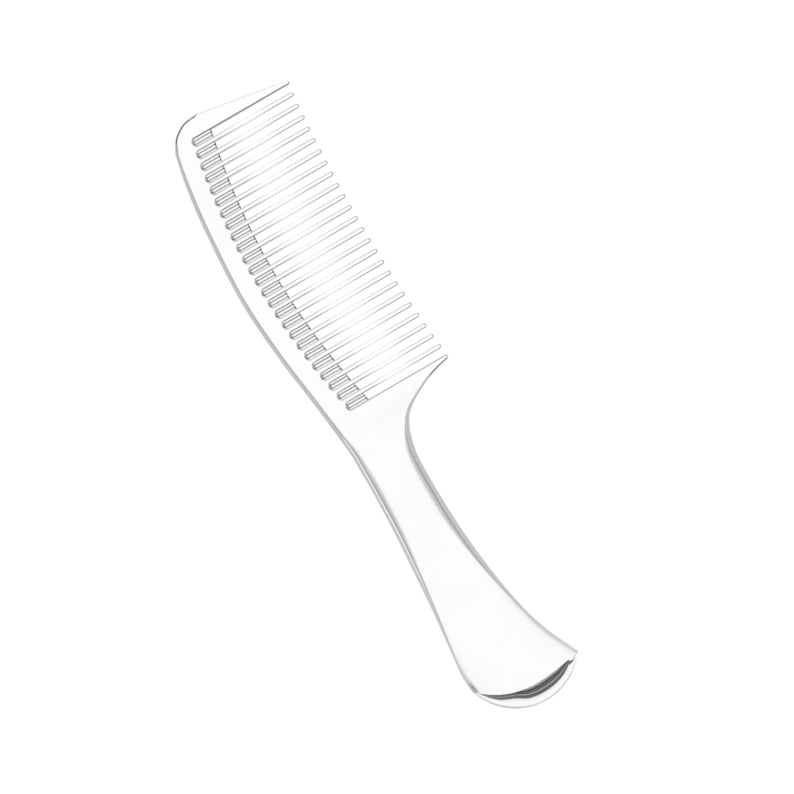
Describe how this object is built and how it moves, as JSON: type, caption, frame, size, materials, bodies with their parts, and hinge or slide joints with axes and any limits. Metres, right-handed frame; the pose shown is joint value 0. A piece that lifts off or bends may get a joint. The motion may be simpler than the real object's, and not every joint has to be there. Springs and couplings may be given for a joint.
{
  "type": "grooming comb",
  "caption": "Polished steel grooming comb with an arched back, slim tapered teeth between two broad guard teeth, and a waisted hollow handle with a domed butt.",
  "frame": {"origin": "middle of the bounding box's base, the plane that the butt rests on", "axes": "+Y from the butt to the head, +X the way the teeth point, +Z out of the comb's front face"},
  "size_m": [0.0472, 0.2099, 0.012],
  "materials": {
    "polished_steel": "mirror polished",
    "tooth_steel": "mirror polished",
    "handle_steel": "mirror polished",
    "handle_filler": "matt set filler"
  },
  "bodies": {
    "root": {"comb_back": "polished_steel", "tooth_01": "tooth_steel", "tooth_02": "tooth_steel", "tooth_03": "tooth_steel", "tooth_04": "tooth_steel", "tooth_05": "tooth_steel", "tooth_06": "tooth_steel", "tooth_07": "tooth_steel", "tooth_08": "tooth_steel", "tooth_09": "tooth_steel", "tooth_10": "tooth_steel", "tooth_11": "tooth_steel", "tooth_12": "tooth_steel", "tooth_13": "tooth_steel", "tooth_14": "tooth_steel", "tooth_15": "tooth_steel", "tooth_16": "tooth_steel", "tooth_17": "tooth_steel", "tooth_18": "tooth_steel", "tooth_19": "tooth_steel", "tooth_20": "tooth_steel", "tooth_21": "tooth_steel", "tooth_22": "tooth_steel", "tooth_23": "tooth_steel", "tooth_24": "tooth_steel", "handle_front_shell": "handle_steel", "handle_rear_shell": "handle_steel", "butt_cap": "handle_steel", "handle_core": "handle_filler"}
  },
  "joints": []
}
